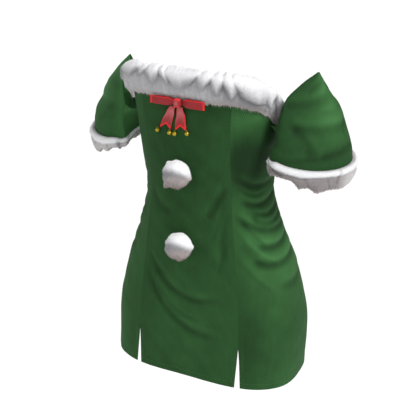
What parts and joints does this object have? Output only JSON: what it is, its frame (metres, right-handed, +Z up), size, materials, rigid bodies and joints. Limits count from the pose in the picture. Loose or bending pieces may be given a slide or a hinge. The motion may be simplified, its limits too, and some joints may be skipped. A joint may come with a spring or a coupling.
{
  "type": "short off-shoulder party dress, held in its worn form",
  "caption": "Green off-shoulder short dress with pointed half sleeves, white faux fur at neck and cuffs, pompom buttons, front slits and a red ribbon bow with jingle bells.",
  "frame": {"origin": "on the dress's middle line at the neckline, 0.545 m above the hem, where the wearer's chest and arms hold the dress up", "axes": "+Z up, +X towards the wearer's left, -Y the way the front faces"},
  "size_m": [0.554, 0.2851, 0.6173],
  "materials": {
    "green_cloth": "matt green twill weave with a soft sheen",
    "white_fur": "white faux fur, clumped pile",
    "red_ribbon": "red satin ribbon",
    "gold_bell": "polished yellow metal"
  },
  "bodies": {
    "root": {"front_panel": "green_cloth", "side_panel_left": "green_cloth", "side_panel_right": "green_cloth", "back_panel": "green_cloth", "sleeve_left": "green_cloth", "sleeve_right": "green_cloth", "neck_fur": "white_fur", "cuff_fur_left": "white_fur", "cuff_fur_right": "white_fur", "pompom_upper": "white_fur", "pompom_lower": "white_fur", "bow_knot": "red_ribbon", "bow_loop_left": "red_ribbon", "bow_loop_right": "red_ribbon", "bow_tail_left": "red_ribbon", "bow_tail_right": "red_ribbon", "bell_1": "gold_bell", "bell_2": "gold_bell", "bell_3": "gold_bell", "bell_4": "gold_bell"}
  },
  "joints": []
}
